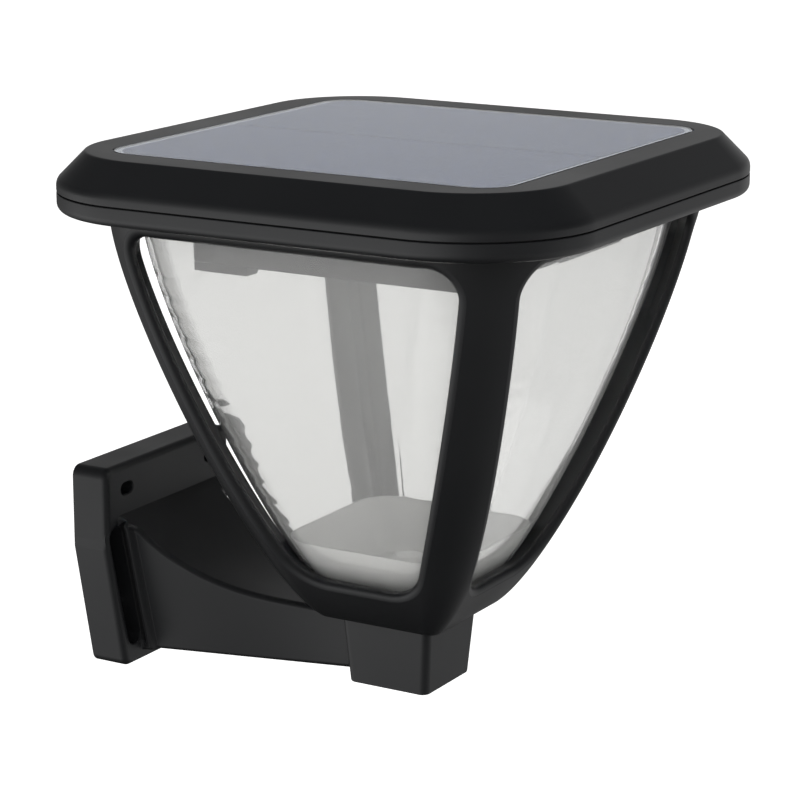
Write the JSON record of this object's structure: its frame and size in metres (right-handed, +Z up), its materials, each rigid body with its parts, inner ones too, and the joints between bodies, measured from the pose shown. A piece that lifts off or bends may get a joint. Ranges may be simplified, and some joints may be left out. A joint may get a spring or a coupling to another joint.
{
  "type": "solar wall light",
  "caption": "Square lantern with a solar panel in its rounded lid and a clear shade in a bulging four-window cage, held out from a tapered wall plate by one swooping arm.",
  "frame": {"origin": "centre of the four wall-screw slots, on the wall plane (the back of the wall plate)", "axes": "+Z up, +Y into the wall so the lantern hangs at -Y, +X to the right for someone who faces the wall"},
  "size_m": [0.2, 0.22, 0.203],
  "materials": {
    "lid_plastic": "satin",
    "black_plastic": "satin",
    "seal_rubber": "matte",
    "button_rubber": "matte",
    "screw_steel": "zinc plated",
    "panel_board": "matte",
    "silicon": "satin",
    "panel_clear": "gloss",
    "lead_plastic": "gloss",
    "battery_wrap": "gloss",
    "contact_metal": "satin",
    "circuit_board": "gloss",
    "white_board": "gloss",
    "led_resin": "gloss",
    "white_plastic": "satin",
    "shade_clear": "gloss"
  },
  "bodies": {
    "light": {"lid_cover": "lid_plastic", "lid_tray": "lid_plastic", "lid_seal": "seal_rubber", "lid_screws": "screw_steel", "panel_backing": "panel_board", "solar_cell_left": "silicon", "solar_cell_right": "silicon", "panel_sheet": "panel_clear", "panel_leads": "lead_plastic", "battery": "battery_wrap", "battery_holder": "black_plastic", "battery_contacts": "contact_metal", "control_board": "circuit_board", "led_board": "white_board", "leds": "led_resin", "board_screws": "screw_steel", "light_plate": "white_plastic", "wire_cover": "black_plastic", "switch_body": "black_plastic", "switch_board": "circuit_board", "shade_seal": "seal_rubber", "shade": "shade_clear", "cage": "black_plastic", "cage_screws": "screw_steel", "light_cone": "white_plastic", "base_insert": "contact_metal", "base_block": "black_plastic", "base_bolt": "screw_steel", "base_washer": "screw_steel", "base_cap": "black_plastic", "wall_bracket": "black_plastic"},
    "button": {"power_button": "button_rubber", "switch_plunger": "white_plastic"}
  },
  "joints": [
    {"name": "power_button_press", "type": "slide", "parent": "light", "child": "button", "axis": [0, 0, 1], "range_m": [0, 0.0012], "stiffness_N_per_m": 900, "springref_m": -0.0008}
  ]
}
